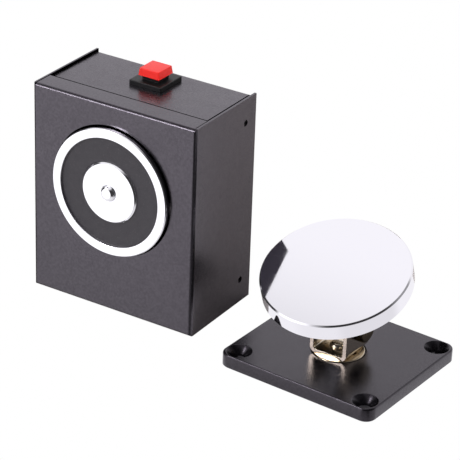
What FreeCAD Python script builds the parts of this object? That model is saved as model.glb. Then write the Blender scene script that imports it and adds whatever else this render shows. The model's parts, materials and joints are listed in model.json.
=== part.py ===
import FreeCAD, Part
import os
import re
import Sketcher

# Electromagnetic door holder: the magnet unit stands at the left, its armature keeper at the right.
# The origin is the middle of the ground under both; +Z is up and the magnet faces -Y. Millimetres.
OUT_FOLDER = "parts"
os.makedirs(OUT_FOLDER, exist_ok=True)
doc = FreeCAD.newDocument("DoorHolder")
Vector = FreeCAD.Vector
Rotation = FreeCAD.Rotation

# Driving dimensions. Each row is an alias, its value, and what it measures.
DIMENSIONS = [
    # Where the two halves stand
    ("unit_x", "-57.15", "middle of the magnet unit"),
    ("unit_front_y", "-21.6", "front face of the housing"),
    ("keeper_x", "59.15", "middle of the keeper plate"),
    ("keeper_y", "0", "middle of the keeper plate"),
    ("keeper_angle", "-3.8", "degrees that the plate is turned on the ground"),
    ("yoke_angle", "-1.5", "degrees that the swivel stands at"),
    ("lean_angle", "18.9", "degrees that the armature leans to the front"),
    # Folded front cover
    ("cover_width", "93.5", "outside, left to right"),
    ("cover_height", "110", "outside, ground to top"),
    ("cover_depth", "53.2", "outside, front to wall"),
    ("sheet", "1.2", "steel sheet of cover and chassis"),
    ("bend", "2", "outer radius of the folds"),
    ("lip", "12", "depth of the folded top and bottom lips"),
    ("seam", "0.4", "open seam at each end of a lip"),
    ("cover_hole_radius", "1.65", "screw holes in the sides"),
    ("side_hole_inset", "9", "screw hole from the wall edge"),
    ("side_hole_edge", "12.5", "screw hole from the top or bottom edge"),
    # Chassis
    ("chassis_gap", "0.25", "between chassis and cover sides"),
    ("chassis_front", "2.4", "front edges behind the cover face"),
    ("tab_depth", "15", "depth of the side tabs"),
    ("tab_height", "16", "height of the side tabs"),
    ("wall_hole_radius", "2.6", "wall screw holes"),
    ("wall_inset_x", "12.75", "wall screw holes from the housing's left or right side"),
    ("wall_inset_z", "17", "wall screw holes from the housing's top or bottom"),
    ("cable_x", "22", "cable entry from the middle"),
    ("cable_z", "34", "cable entry above the ground"),
    ("cable_hole_radius", "8", "cable entry"),
    # Cover screws
    ("grub_radius", "1.5", "thread of the cover screws"),
    ("grub_length", "6", "length of the cover screws"),
    ("grub_sunk", "0.6", "screws below the cover's side"),
    ("grub_socket", "1.5", "hexagon across flats"),
    ("grub_socket_depth", "1.8", "depth of the hexagon"),
    # Magnet
    ("magnet_drop", "44.6", "magnet axis below the top of the housing"),
    ("magnet_proud", "3", "pole faces in front of the cover"),
    ("magnet_gap", "0.8", "between magnet and cover hole"),
    ("pot_radius", "33.1", "outside of the steel pot"),
    ("pot_wall", "4.95", "wall of the pot"),
    ("pot_floor", "5", "floor of the pot"),
    ("pot_depth", "24", "front to back"),
    ("lead_hole_radius", "2", "lead exit in the pot's floor"),
    ("core_radius", "15.75", "steel core"),
    ("core_chamfer", "0.8", "edge of the core's face"),
    ("face_chamfer", "0.5", "edges of the pot's rim"),
    ("potting_sunk", "1.3", "resin below the pole faces"),
    ("potting_depth", "3", "thickness of the resin ring"),
    ("bobbin_wall", "1", "wall of the coil bobbin"),
    ("coil_space", "0.8", "winding inside the bobbin's rim"),
    # Release pin in the core
    ("pin_radius", "3.9", "tip of the pin"),
    ("pin_proud", "1.9", "tip in front of the pole face"),
    ("pin_dome", "1.7", "rounding of the tip"),
    ("pin_shoulder", "4.9", "radius of the shoulder"),
    ("pin_shoulder_length", "3", "length of the shoulder"),
    ("pin_fit", "0.08", "clearance round the pin"),
    ("bush_radius", "6.2", "outside of the guide bush"),
    ("bush_length", "3", "length of the guide bush"),
    # Standoff and bolt behind the magnet
    ("standoff_radius", "9", "body of the clinched standoff"),
    ("standoff_shank", "7.5", "shank that is pressed into the chassis"),
    ("bolt_radius", "3", "thread of the magnet bolt"),
    ("bolt_head_radius", "6", "countersunk head"),
    ("bolt_gap", "0.3", "clearance round the bolt"),
    ("bolt_grip", "8", "bolt beyond the standoff, into the core"),
    ("bolt_spare", "1", "between the bolt's end and the pin's bore"),
    ("bolt_socket", "4", "hexagon across flats"),
    ("bolt_socket_depth", "2.2", "depth of the hexagon"),
    # Push button
    ("button_shift", "0.9", "button behind the middle of the space behind the magnet"),
    ("button_across", "-0.9", "button from the middle of the housing"),
    ("bezel_size", "18.4", "square flange"),
    ("bezel_height", "2.4", "flange above the chassis"),
    ("collar_size", "9.2", "square guide collar"),
    ("collar_height", "5", "top of the collar above the chassis"),
    ("barrel_radius", "7.9", "threaded barrel"),
    ("barrel_length", "14", "barrel below the chassis top"),
    ("barrel_gap", "0.2", "between barrel and its hole"),
    ("button_floor", "2", "closed end of the barrel"),
    ("cap_top", "11.2", "cap across its top face"),
    ("cap_foot", "12.2", "cap across its open foot"),
    ("cap_low", "4.5", "foot of the cap above the chassis"),
    ("cap_high", "8.3", "top of the cap above the chassis"),
    ("cap_wall", "1", "wall of the cap"),
    ("cap_crown", "1.2", "thickness of the cap's top"),
    ("stem_radius", "3", "stem under the cap"),
    ("stem_length", "8", "stem below the crown"),
    ("stem_fit", "0.08", "clearance round the stem"),
    ("button_nut_height", "3.5", "barrel nut"),
    ("button_nut_flats", "19", "barrel nut across flats"),
    ("blade_width", "2.8", "solder blades"),
    ("blade_thick", "0.5", "solder blades"),
    ("blade_length", "6", "solder blades"),
    ("blade_spacing", "6", "solder blades, middle to middle"),
    ("blade_eye", "0.6", "radius of the hole in a blade"),
    ("soft_edge", "0.4", "small moulded edges"),
    # Terminal block
    ("block_screw_gap", "5.15", "between the block and the cover screw beside it"),
    ("block_back_gap", "2.4", "between the block and the back plate"),
    ("block_depth", "9", "front to back"),
    ("block_height", "10.5", "height"),
    ("way_pitch", "7.5", "from one way to the next"),
    ("way_radius", "1.7", "wire entries"),
    ("way_height", "3.6", "wire entries above the foot"),
    ("well_radius", "1.75", "screw wells"),
    ("well_depth", "4.4", "screw wells"),
    ("clamp_screw_radius", "1.6", "clamp screws"),
    ("clamp_screw_length", "3", "clamp screws"),
    ("slot_width", "0.6", "slot of a clamp screw"),
    ("slot_depth", "0.8", "slot of a clamp screw"),
    # Keeper plate
    ("plate_width", "85.2", "along the hinge"),
    ("plate_depth", "76.5", "across the hinge"),
    ("plate_thick", "7", "thickness"),
    ("plate_corner", "5.5", "corner radius"),
    ("plate_chamfer", "0.4", "top and bottom edges"),
    ("plate_spacing_x", "71", "screw holes along the hinge"),
    ("plate_spacing_y", "62.4", "screw holes across the hinge"),
    ("plate_hole_radius", "3.1", "screw holes"),
    ("plate_sink_radius", "6.5", "countersinks"),
    ("recess_radius", "13.3", "round recess of the swivel"),
    ("recess_depth", "2.4", "depth of the recess"),
    # Swivel
    ("swivel_radius", "12.8", "nickel disc under the yoke"),
    ("swivel_thick", "2.6", "thickness of that disc"),
    ("swivel_edge", "0.6", "rounding of that disc"),
    ("swivel_play", "0.08", "end play of the swivel"),
    ("rivet_radius", "3", "shank of the swivel rivet"),
    ("rivet_head", "4.2", "radius of the domed head"),
    ("rivet_dome", "1.8", "height of the domed head"),
    ("rivet_foot", "6.2", "radius of the lower head"),
    ("rivet_foot_thick", "1.8", "thickness of the lower head"),
    ("rivet_foot_gap", "0.1", "gap round and below the lower head"),
    ("rivet_fit", "0.06", "clearance on the shank"),
    # Yoke
    ("yoke_width", "20", "outside of the two ears"),
    ("yoke_front", "10", "front edge from the pivot"),
    ("yoke_back", "10.6", "back edge from the pivot"),
    ("yoke_sheet", "2", "nickel plated sheet"),
    ("yoke_bend", "3.4", "outer radius of its folds"),
    ("ear_corner", "6", "radius of the ears' top corners"),
    ("ear_above", "7.6", "ears above the hinge axis"),
    ("hinge_back", "4", "hinge axis behind the pivot"),
    ("hinge_height", "20.1", "hinge axis above the ground"),
    # Hinge bolt
    ("hinge_radius", "3", "shank of the hinge bolt"),
    ("hinge_fit", "0.06", "clearance on the shank"),
    ("hinge_head_radius", "6.5", "head of the hinge bolt"),
    ("hinge_head_thick", "3.5", "head of the hinge bolt"),
    ("hinge_head_edge", "1.2", "rounding of the head"),
    ("hinge_nut_flats", "10", "nut across flats"),
    ("hinge_nut_thick", "4.6", "nut"),
    ("hinge_tail", "1.4", "bolt end beyond the nut"),
    ("hinge_lead", "0.5", "chamfer of the bolt's end"),
    ("washer_radius", "6", "washers beside the eye"),
    ("washer_thick", "1", "washers beside the eye"),
    # Armature
    ("eye_radius", "6.4", "round foot of the stem"),
    ("eye_play", "0.08", "between eye and washers"),
    ("neck_radius", "6", "neck of the stem"),
    ("neck_length", "11", "hinge axis to the start of the taper"),
    ("taper_radius", "10", "taper under the flange"),
    ("flange_radius", "14", "flange under the disc"),
    ("flange_thick", "3", "flange under the disc"),
    ("armature_reach", "24.9", "hinge axis to the back of the disc"),
    ("armature_radius", "35.9", "armature disc"),
    ("armature_thick", "8.9", "armature disc"),
    ("armature_chamfer", "0.7", "polished front edge"),
    ("armature_back_chamfer", "0.5", "back edge"),
    ("stud_radius", "4", "threaded stud in the disc"),
    ("stud_length", "5", "threaded stud in the disc"),
    # Coil springs
    ("spring_wire", "0.8", "thickness of the square wire"),
    ("spring_turns", "3.5", "turns of a spring"),
    ("spring_slack", "0.3", "spring inside its bore"),
]
ALIASES = {alias for alias, size, meaning in DIMENSIONS}

sizes = doc.addObject("Spreadsheet::Sheet", "Sizes")
for row, (alias, size, meaning) in enumerate(DIMENSIONS, start=1):
    sizes.set("A%d" % row, alias)
    sizes.set("B%d" % row, size)
    sizes.set("C%d" % row, meaning)
    sizes.setAlias("B%d" % row, alias)
doc.recompute()

# Places that several pieces share, as formulas in the aliases.
CHASSIS_HALF = "(cover_width / 2 - sheet - chassis_gap)"
CHASSIS_TOP = "(cover_height - sheet)"
BACK_PLATE_FACE = "(cover_depth - sheet)"
MAGNET_UP = "(cover_height - magnet_drop)"
POT_BACK = "(pot_depth - magnet_proud)"
POT_BORE = "(pot_radius - pot_wall)"
BOBBIN_FRONT = "(pot_depth - potting_sunk - potting_depth)"
CORE_BORE_FLOOR = "(bolt_grip + bolt_spare)"
PIN_SEAT = "(pot_depth - bush_length - pin_fit)"
STANDOFF_LENGTH = "(cover_depth - pot_depth + magnet_proud)"
BOLT_SINK = "(bolt_head_radius - bolt_radius)"
BUTTON_BACK = "((pot_depth - magnet_proud + cover_depth - sheet) / 2 + button_shift)"
STEM_END = "(cap_high - cap_crown - stem_length)"
BARREL_FLOOR = "(button_floor - barrel_length)"
RECESS_FLOOR = "(plate_thick - recess_depth)"
YOKE_FOOT = "(plate_thick - recess_depth + swivel_play + swivel_thick)"
YOKE_TOP = "(hinge_height + ear_above)"
EAR_INSIDE = "(yoke_width / 2 - yoke_sheet)"
EYE_HALF = "(yoke_width / 2 - yoke_sheet - washer_thick - eye_play)"
WAYS = 4
BLOCK_ACROSS = "(way_pitch * %d / 2 + block_screw_gap + grub_length + grub_sunk - cover_width / 2)" % WAYS
BLOCK_FRONT = "(cover_depth - sheet - block_back_gap - block_depth)"


def formula(text):
    """The same formula, with each alias read from the sheet."""
    return re.sub(r"[a-z_]+", lambda word: "Sizes." + word[0] if word[0] in ALIASES else word[0], text)


def number(text):
    """The value that a formula in the aliases has now."""
    return float(sizes.evalExpression(formula(text)))


def new_body(label):
    body = doc.addObject("PartDesign::Body", label)
    body.Label = label
    return body


def new_sketch(body, name, plane, lift="0"):
    """A sketch on one of the body's own origin planes, lifted along that plane's normal."""
    sketch = body.newObject("Sketcher::SketchObject", name)
    support = next(feature for feature in body.Origin.OriginFeatures if feature.Role == plane)
    sketch.AttachmentSupport = [(support, "")]
    sketch.MapMode = "FlatFace"
    sketch.setExpression("AttachmentOffset.Base.z", formula(lift))
    return sketch


def hold_point(sketch, edge, end, across, up):
    """Hold one point of a sketch at two formulas from the sketch's origin."""
    for kind, text in (("DistanceX", across), ("DistanceY", up)):
        rule = sketch.addConstraint(Sketcher.Constraint(kind, -1, 1, edge, end, number(text)))
        sketch.setExpression("Constraints[%d]" % rule, formula(text))


def draw_polygon(sketch, corners):
    """A closed outline of straight edges; each corner is a pair of formulas."""
    first = sketch.GeometryCount
    count = len(corners)
    places = [Vector(number(across), number(up), 0) for across, up in corners]
    for index in range(count):
        sketch.addGeometry(Part.LineSegment(places[index], places[(index + 1) % count]))
    for index in range(count):
        following = first + (index + 1) % count
        sketch.addConstraint(Sketcher.Constraint("Coincident", first + index, 2, following, 1))
    for index, (across, up) in enumerate(corners):
        hold_point(sketch, first + index, 1, across, up)


def draw_rectangle(sketch, left, right, low, high):
    draw_polygon(sketch, [(left, low), (right, low), (right, high), (left, high)])


def draw_square(sketch, width):
    draw_rectangle(sketch, "-%s / 2" % width, "%s / 2" % width, "-%s / 2" % width, "%s / 2" % width)


def draw_hexagon(sketch, flats):
    """A hexagon about the sketch's origin, by its width across flats."""
    corners = []
    for step in range(6):
        corners.append(("%s / 2 / cos(30) * cos(%d)" % (flats, 60 * step),
                        "%s / 2 / cos(30) * sin(%d)" % (flats, 60 * step)))
    draw_polygon(sketch, corners)


def draw_circle(sketch, across, up, radius):
    circle = Part.Circle(Vector(number(across), number(up), 0), Vector(0, 0, 1), number(radius))
    edge = sketch.addGeometry(circle)
    hold_point(sketch, edge, 3, across, up)
    rule = sketch.addConstraint(Sketcher.Constraint("Radius", edge, number(radius)))
    sketch.setExpression("Constraints[%d]" % rule, formula(radius))


def pad(body, name, sketch, length, down=False):
    """Raise a sketch along its normal, or against it."""
    feature = body.newObject("PartDesign::Pad", name)
    feature.Profile = sketch
    feature.setExpression("Length", formula(length))
    feature.Reversed = down
    doc.recompute()
    return feature


def cut(body, name, sketch, length=None, up=False):
    """Cut against the sketch's normal, or along it, to a depth or right through."""
    before = body.Shape.Volume
    feature = body.newObject("PartDesign::Pocket", name)
    feature.Profile = sketch
    feature.Reversed = up
    if length is None:
        feature.Type = "ThroughAll"
    else:
        feature.setExpression("Length", formula(length))
    doc.recompute()
    if body.Shape.Volume > before - 0.001:
        raise RuntimeError("%s: %s cuts nothing" % (body.Label, name))
    return feature


def spin(body, name, outline):
    """A solid of revolution about the body's Z axis, from corners of radius and height."""
    sketch = new_sketch(body, name + "Outline", "XZ_Plane")
    draw_polygon(sketch, outline)
    feature = body.newObject("PartDesign::Revolution", name)
    feature.Profile = sketch
    feature.ReferenceAxis = (sketch, ["V_Axis"])
    feature.Angle = 360
    doc.recompute()
    return feature


def level(edge, axis, text):
    """Whether a whole edge lies at one place along an axis."""
    box = edge.BoundBox
    low, high = {"x": (box.XMin, box.XMax), "y": (box.YMin, box.YMax), "z": (box.ZMin, box.ZMax)}[axis]
    return abs(low - number(text)) < 0.001 and abs(high - number(text)) < 0.001


def upright(edge):
    box = edge.BoundBox
    return box.ZLength > 0.1 and box.XLength < 0.001 and box.YLength < 0.001


def wide_ring(edge, radius):
    """Whether an edge is a circle of at least this radius."""
    return hasattr(edge.Curve, "Radius") and edge.Curve.Radius > number(radius) - 0.001


def dress(body, kind, name, wanted, size):
    """A fillet or chamfer on the edges that a test picks out."""
    base = body.Tip
    chosen = ["Edge%d" % place for place, edge in enumerate(base.Shape.Edges, start=1) if wanted(edge)]
    if not chosen:
        raise RuntimeError("%s: %s finds no edge" % (body.Label, name))
    feature = body.newObject("PartDesign::" + kind, name)
    feature.Base = (base, chosen)
    feature.setExpression("Radius" if kind == "Fillet" else "Size", formula(size))
    doc.recompute()
    return feature


def put(item, across, back, up):
    """Bind an item's place to three formulas."""
    for axis, text in (("x", across), ("y", back), ("z", up)):
        item.setExpression("Placement.Base." + axis, formula(text))
    return item


TO_FRONT = Rotation(Vector(1, 0, 0), 90)
TO_RIGHT = Rotation(Vector(0, 1, 0), 90)
TO_LEFT = Rotation(Vector(0, 1, 0), -90)


def put_on_unit(item, back="0", up="0", across="0"):
    return put(item, "unit_x + " + across, "unit_front_y + " + back, up)


def put_on_magnet_axis(item, back):
    """Point the item's +Z to the front, from a depth behind the cover's face."""
    item.Placement = FreeCAD.Placement(Vector(), TO_FRONT)
    return put_on_unit(item, back, MAGNET_UP)


def put_on_keeper(item):
    item.Placement = FreeCAD.Placement(Vector(), Rotation(Vector(0, 0, 1), number("keeper_angle")))
    return put(item, "keeper_x", "keeper_y", "0")


def put_on_swivel(item):
    item.Placement = FreeCAD.Placement(Vector(), Rotation(Vector(0, 0, 1), number("yoke_angle")))
    return put(item, "keeper_x", "keeper_y", "0")


def put_on_hinge(item, lean):
    """Put the item's origin on the middle of the hinge axis, after a rotation in the yoke's frame."""
    swivel = Rotation(Vector(0, 0, 1), number("yoke_angle"))
    item.Placement = FreeCAD.Placement(Vector(), swivel * lean)
    return put(item, "keeper_x - hinge_back * sin(yoke_angle)", "keeper_y + hinge_back * cos(yoke_angle)",
               "hinge_height")


def make_front_cover():
    """Steel sheet folded into a front, two sides and narrow top and bottom lips, open to the wall."""
    body = new_body("front_cover")
    block = new_sketch(body, "Footprint", "XY_Plane")
    draw_rectangle(block, "-cover_width / 2", "cover_width / 2", "0", "cover_depth")
    pad(body, "Outside", block, "cover_height")
    dress(body, "Fillet", "OuterFolds", lambda edge: level(edge, "y", "0"), "bend")
    hollow = new_sketch(body, "Hollow", "XZ_Plane", "-cover_depth")
    half = "(cover_width / 2 - sheet)"
    draw_rectangle(hollow, "-" + half, half, "sheet", "cover_height - sheet")
    cut(body, "Inside", hollow, "cover_depth - sheet", up=True)
    dress(body, "Fillet", "InnerFolds", lambda edge: level(edge, "y", "sheet"), "bend - sheet")
    window = new_sketch(body, "Window", "XY_Plane", "cover_height")
    draw_rectangle(window, "-" + half, half, "lip", "cover_depth + sheet")
    cut(body, "LipEdges", window)
    left = new_sketch(body, "LeftSlit", "XY_Plane", "cover_height")
    draw_rectangle(left, "-" + half, "seam - " + half, "bend", "lip + sheet")
    cut(body, "LeftSeams", left)
    right = new_sketch(body, "RightSlit", "XY_Plane", "cover_height")
    draw_rectangle(right, half + " - seam", half, "bend", "lip + sheet")
    cut(body, "RightSeams", right)
    opening = new_sketch(body, "MagnetHole", "XZ_Plane", "sheet")
    draw_circle(opening, "0", MAGNET_UP, "pot_radius + magnet_gap")
    cut(body, "MagnetOpening", opening)
    holes = new_sketch(body, "SideHoles", "YZ_Plane", "cover_width")
    for up in ("side_hole_edge", "cover_height - side_hole_edge"):
        draw_circle(holes, "cover_depth - side_hole_inset", up, "cover_hole_radius")
    cut(body, "ScrewHoles", holes)
    return put_on_unit(body)


def make_chassis():
    """Steel back plate with folded top and bottom shelves and four side tabs for the cover screws."""
    body = new_body("chassis")
    channel = new_sketch(body, "Channel", "YZ_Plane", "-" + CHASSIS_HALF)
    draw_polygon(channel, [
        ("chassis_front", "sheet"), ("cover_depth", "sheet"),
        ("cover_depth", CHASSIS_TOP), ("chassis_front", CHASSIS_TOP),
        ("chassis_front", CHASSIS_TOP + " - sheet"), (BACK_PLATE_FACE, CHASSIS_TOP + " - sheet"),
        (BACK_PLATE_FACE, "2 * sheet"), ("chassis_front", "2 * sheet")])
    pad(body, "Shelves", channel, "2 * " + CHASSIS_HALF)
    dress(body, "Fillet", "OuterFolds", lambda edge: level(edge, "y", "cover_depth") and (
        level(edge, "z", "sheet") or level(edge, "z", CHASSIS_TOP)), "bend")
    dress(body, "Fillet", "InnerFolds", lambda edge: level(edge, "y", BACK_PLATE_FACE) and (
        level(edge, "z", "2 * sheet") or level(edge, "z", CHASSIS_TOP + " - sheet")), "bend - sheet")
    sides = (("Left", "-" + CHASSIS_HALF, "sheet - " + CHASSIS_HALF),
             ("Right", CHASSIS_HALF + " - sheet", CHASSIS_HALF))
    ends = (("Low", "side_hole_edge"), ("High", "cover_height - side_hole_edge"))
    for side, near, far in sides:
        for end, up in ends:
            tab = new_sketch(body, side + end + "TabOutline", "XY_Plane", up + " - tab_height / 2")
            draw_rectangle(tab, near, far, "cover_depth - tab_depth", "cover_depth - sheet / 2")
            pad(body, side + end + "Tab", tab, "tab_height")
    taps = new_sketch(body, "TabHoles", "YZ_Plane", "cover_width")
    for end, up in ends:
        draw_circle(taps, "cover_depth - side_hole_inset", up, "grub_radius")
    cut(body, "TappedHoles", taps)
    back = new_sketch(body, "BackHoles", "XZ_Plane", "2 * sheet - cover_depth")
    for across in ("wall_inset_x - cover_width / 2", "cover_width / 2 - wall_inset_x"):
        for up in ("wall_inset_z", "cover_height - wall_inset_z"):
            draw_circle(back, across, up, "wall_hole_radius")
    draw_circle(back, "0", MAGNET_UP, "standoff_shank")
    draw_circle(back, "cable_x", "cable_z", "cable_hole_radius")
    cut(body, "BackPlateHoles", back)
    top = new_sketch(body, "ButtonHole", "XY_Plane", "cover_height")
    draw_circle(top, "button_across", BUTTON_BACK, "barrel_radius + barrel_gap")
    cut(body, "ButtonOpening", top, "4 * sheet")
    return put_on_unit(body)


def make_cover_screws():
    """Four socket grub screws through the cover's sides into the chassis tabs."""
    screws = []
    for side, facing in (("", TO_LEFT), ("-", TO_RIGHT)):
        for up in ("side_hole_edge", "cover_height - side_hole_edge"):
            body = new_body("cover_screw_%d" % (len(screws) + 1))
            spin(body, "Shank", [
                ("0", "0"), ("grub_radius", "0"), ("grub_radius", "grub_length"), ("0", "grub_length")])
            socket = new_sketch(body, "Socket", "XY_Plane")
            draw_hexagon(socket, "grub_socket")
            cut(body, "HexSocket", socket, "grub_socket_depth", up=True)
            body.Placement = FreeCAD.Placement(Vector(), facing)
            across = side + "(cover_width / 2 - grub_sunk)"
            screws.append(put_on_unit(body, "cover_depth - side_hole_inset", up, across))
    return screws


def make_magnet_pot():
    """Turned steel cup whose rim is the outer pole face; its floor has the bolt and lead holes."""
    body = new_body("magnet_pot")
    hole = "bolt_radius + bolt_gap"
    spin(body, "Cup", [
        (hole, "0"), ("pot_radius", "0"), ("pot_radius", "pot_depth"), (POT_BORE, "pot_depth"),
        (POT_BORE, "pot_floor"), (hole, "pot_floor")])
    dress(body, "Chamfer", "RimEdges", lambda edge: level(edge, "z", "pot_depth"), "face_chamfer")
    lead = new_sketch(body, "LeadHole", "XY_Plane", "pot_floor")
    draw_circle(lead, "0", "-(core_radius + pot_radius - pot_wall) / 2", "lead_hole_radius")
    cut(body, "LeadExit", lead)
    return put_on_magnet_axis(body, POT_BACK)


def make_magnet_core():
    """Steel core with a stepped bore: bush seat and pin bore in front, bolt thread behind."""
    body = new_body("magnet_core")
    bore = "pin_shoulder + pin_fit"
    bush_seat = "pot_depth - bush_length"
    spin(body, "Slug", [
        ("bolt_radius", "pot_floor"), ("core_radius", "pot_floor"), ("core_radius", "pot_depth"),
        ("bush_radius", "pot_depth"), ("bush_radius", bush_seat), (bore, bush_seat),
        (bore, CORE_BORE_FLOOR), ("bolt_radius", CORE_BORE_FLOOR)])
    rim = lambda edge: level(edge, "z", "pot_depth") and wide_ring(edge, "core_radius")
    dress(body, "Chamfer", "FaceEdge", rim, "core_chamfer")
    return put_on_magnet_axis(body, POT_BACK)


def make_coil_bobbin():
    """Moulded spool between core and pot, behind the resin."""
    body = new_body("coil_bobbin")
    hub = "core_radius + bobbin_wall"
    spin(body, "Spool", [
        ("core_radius", "pot_floor"), (POT_BORE, "pot_floor"), (POT_BORE, "pot_floor + bobbin_wall"),
        (hub, "pot_floor + bobbin_wall"), (hub, BOBBIN_FRONT + " - bobbin_wall"),
        (POT_BORE, BOBBIN_FRONT + " - bobbin_wall"), (POT_BORE, BOBBIN_FRONT), ("core_radius", BOBBIN_FRONT)])
    return put_on_magnet_axis(body, POT_BACK)


def make_coil_winding():
    """Enamelled copper wire, as one ring between the bobbin's rims."""
    body = new_body("coil_winding")
    hub = "core_radius + bobbin_wall"
    low = "pot_floor + bobbin_wall"
    high = BOBBIN_FRONT + " - bobbin_wall"
    outer = POT_BORE + " - coil_space"
    spin(body, "Turns", [(hub, low), (outer, low), (outer, high), (hub, high)])
    return put_on_magnet_axis(body, POT_BACK)


def make_potting_ring():
    """Cast black resin that seals the coil, a little below the two pole faces."""
    body = new_body("potting_ring")
    high = "pot_depth - potting_sunk"
    spin(body, "Resin", [
        ("core_radius", BOBBIN_FRONT), (POT_BORE, BOBBIN_FRONT), (POT_BORE, high), ("core_radius", high)])
    return put_on_magnet_axis(body, POT_BACK)


def make_release_pin():
    """Sprung pin with a domed tip that pushes the armature off the magnet."""
    body = new_body("release_pin")
    low = PIN_SEAT + " - pin_shoulder_length"
    tip = "pot_depth + pin_proud"
    spin(body, "Pin", [
        ("0", low), ("pin_shoulder", low), ("pin_shoulder", PIN_SEAT), ("pin_radius", PIN_SEAT),
        ("pin_radius", tip), ("0", tip)])
    dress(body, "Fillet", "DomedTip", lambda edge: level(edge, "z", tip), "pin_dome")
    return put_on_magnet_axis(body, POT_BACK)


def make_pin_bush():
    """Brass bush pressed into the core; it guides the pin and stops its shoulder."""
    body = new_body("pin_bush")
    low = "pot_depth - bush_length"
    bore = "pin_radius + pin_fit"
    spin(body, "Bush", [(bore, low), ("bush_radius", low), ("bush_radius", "pot_depth"), (bore, "pot_depth")])
    return put_on_magnet_axis(body, POT_BACK)


def make_spring(label, bore, low, high):
    """A compression spring of square wire that stands in a bore between two heights."""
    body = new_body(label)
    wire = new_sketch(body, "Wire", "XZ_Plane")
    outer = bore + " - spring_slack"
    draw_rectangle(wire, outer + " - spring_wire", outer, low, low + " + spring_wire")
    coil = body.newObject("PartDesign::AdditiveHelix", "Coil")
    coil.Profile = wire
    coil.ReferenceAxis = (wire, ["V_Axis"])
    coil.Mode = "height-turns-angle"
    coil.setExpression("Height", formula(high + " - " + low + " - spring_wire"))
    coil.setExpression("Turns", formula("spring_turns"))
    doc.recompute()
    return body


def make_pin_spring():
    low = PIN_SEAT + " - pin_shoulder_length"
    body = make_spring("pin_spring", "(pin_shoulder + pin_fit)", CORE_BORE_FLOOR, "(" + low + ")")
    return put_on_magnet_axis(body, POT_BACK)


def make_magnet_standoff():
    """Turned steel standoff, clinched into the back plate and countersunk for the bolt."""
    body = new_body("magnet_standoff")
    bore = "bolt_radius + bolt_gap"
    spin(body, "Pillar", [
        ("bolt_head_radius + bolt_gap", "0"), ("standoff_shank", "0"), ("standoff_shank", "sheet"),
        ("standoff_radius", "sheet"), ("standoff_radius", STANDOFF_LENGTH), (bore, STANDOFF_LENGTH),
        (bore, BOLT_SINK)])
    return put_on_magnet_axis(body, "cover_depth")


def make_magnet_bolt():
    """Countersunk socket bolt, put in from the wall side, that draws the magnet onto its standoff."""
    body = new_body("magnet_bolt")
    end = STANDOFF_LENGTH + " + bolt_grip - bolt_gap"
    spin(body, "Bolt", [
        ("0", "0"), ("bolt_head_radius", "0"), ("bolt_radius", BOLT_SINK), ("bolt_radius", end), ("0", end)])
    socket = new_sketch(body, "Socket", "XY_Plane")
    draw_hexagon(socket, "bolt_socket")
    cut(body, "HexSocket", socket, "bolt_socket_depth", up=True)
    return put_on_magnet_axis(body, "cover_depth - bolt_gap")


def make_button_housing():
    """Black moulded bezel with a square collar above and a threaded barrel below."""
    body = new_body("button_housing")
    bezel = new_sketch(body, "BezelOutline", "XY_Plane")
    draw_square(bezel, "bezel_size")
    pad(body, "Bezel", bezel, "bezel_height")
    outer = lambda edge: upright(edge) or level(edge, "z", "bezel_height")
    dress(body, "Fillet", "BezelEdges", outer, "soft_edge")
    collar = new_sketch(body, "CollarOutline", "XY_Plane")
    draw_square(collar, "collar_size")
    pad(body, "Collar", collar, "collar_height")
    barrel = new_sketch(body, "BarrelOutline", "XY_Plane")
    draw_circle(barrel, "0", "0", "barrel_radius")
    pad(body, "Barrel", barrel, "barrel_length", down=True)
    bore = new_sketch(body, "StemBore", "XY_Plane", "collar_height")
    draw_circle(bore, "0", "0", "stem_radius + stem_fit")
    cut(body, "Guide", bore, "collar_height - " + BARREL_FLOOR)
    return put_on_unit(body, BUTTON_BACK, CHASSIS_TOP, "button_across")


def make_button_cap():
    """Red moulded cap with drafted sides, hollow over the collar, on a round stem."""
    body = new_body("button_cap")
    foot = new_sketch(body, "Foot", "XY_Plane", "cap_low")
    draw_square(foot, "cap_foot")
    skin = pad(body, "Skin", foot, "cap_high - cap_low")
    skin.setExpression("TaperAngle", formula("-atan((cap_foot - cap_top) / 2 / (cap_high - cap_low))"))
    doc.recompute()
    dress(body, "Fillet", "CapEdges", lambda edge: not level(edge, "z", "cap_low"), "soft_edge")
    hollow = new_sketch(body, "Hollow", "XY_Plane", "cap_low")
    draw_square(hollow, "(cap_foot - 2 * cap_wall)")
    cut(body, "Inside", hollow, "cap_high - cap_crown - cap_low", up=True)
    stem = new_sketch(body, "StemOutline", "XY_Plane", "cap_high - cap_crown / 2")
    draw_circle(stem, "0", "0", "stem_radius")
    pad(body, "Stem", stem, "stem_length + cap_crown / 2", down=True)
    return put_on_unit(body, BUTTON_BACK, CHASSIS_TOP, "button_across")


def make_button_spring():
    body = make_spring("button_spring", "(stem_radius + stem_fit)", BARREL_FLOOR, STEM_END)
    return put_on_unit(body, BUTTON_BACK, CHASSIS_TOP, "button_across")


def make_button_nut():
    """Flat hexagon nut on the barrel, under the chassis top."""
    body = new_body("button_nut")
    outline = new_sketch(body, "Outline", "XY_Plane")
    draw_hexagon(outline, "button_nut_flats")
    draw_circle(outline, "0", "0", "barrel_radius")
    pad(body, "Nut", outline, "button_nut_height", down=True)
    return put_on_unit(body, BUTTON_BACK, CHASSIS_TOP + " - sheet", "button_across")


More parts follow.
